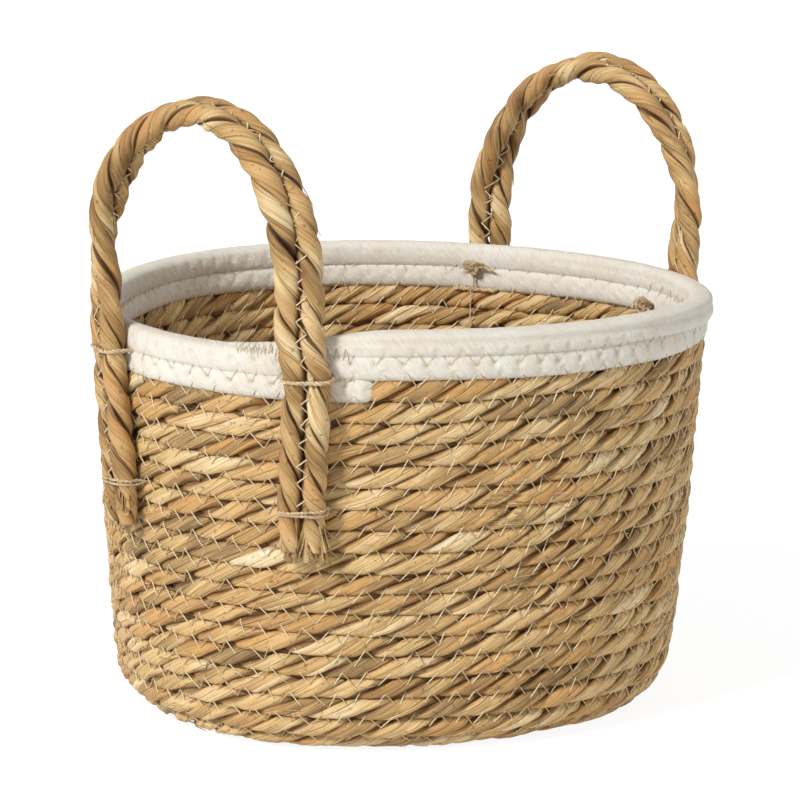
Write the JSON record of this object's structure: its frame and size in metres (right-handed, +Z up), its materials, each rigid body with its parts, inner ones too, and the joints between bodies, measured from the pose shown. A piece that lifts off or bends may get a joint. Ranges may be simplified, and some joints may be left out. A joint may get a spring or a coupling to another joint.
{
  "type": "coiled rope basket with two handles",
  "caption": "Round open storage basket of coiled, stitched seagrass rope, with a white cotton rope rim and upright rope handles that bend at the rim.",
  "frame": {"origin": "on the floor, in the middle of the whole basket's outline seen from above", "axes": "+Z up, the handles towards -X and +X, +Y towards the side away from the front"},
  "size_m": [0.3038, 0.2806, 0.2887],
  "materials": {
    "seagrass": "twisted seagrass rope, dry and slightly glossy strands",
    "seagrass_handle": "two-strand seagrass rope",
    "white_cotton": "soft braided cotton rope",
    "twine": "thin natural twine"
  },
  "bodies": {
    "basket": {"base_coil": "seagrass", "wall_coil": "seagrass", "rim_coil": "white_cotton", "left_back_leg_inner": "seagrass_handle", "left_back_leg_outer": "seagrass_handle", "left_front_leg_inner": "seagrass_handle", "left_front_leg_outer": "seagrass_handle", "right_front_leg_inner": "seagrass_handle", "right_front_leg_outer": "seagrass_handle", "right_back_leg_inner": "seagrass_handle", "right_back_leg_outer": "seagrass_handle", "left_back_foot_lashing": "twine", "left_back_rim_lashing": "twine", "left_front_foot_lashing": "twine", "left_front_rim_lashing": "twine", "right_front_foot_lashing": "twine", "right_front_rim_lashing": "twine", "right_back_foot_lashing": "twine", "right_back_rim_lashing": "twine"},
    "left_handle": {"left_arch_inner": "seagrass_handle", "left_arch_outer": "seagrass_handle"},
    "right_handle": {"right_arch_inner": "seagrass_handle", "right_arch_outer": "seagrass_handle"}
  },
  "joints": [
    {"name": "left_handle_bend", "type": "hinge", "parent": "basket", "child": "left_handle", "pos_m": [-0.13373, 0.00228, 0.1998], "axis": [-0.038, -0.9993, 0], "range_deg": [-60, 75], "stiffness_Nm_per_rad": 0.35},
    {"name": "right_handle_bend", "type": "hinge", "parent": "basket", "child": "right_handle", "pos_m": [0.13181, -0.01955, 0.19528], "axis": [0.101, 0.9949, 0], "range_deg": [-60, 75], "stiffness_Nm_per_rad": 0.35}
  ]
}
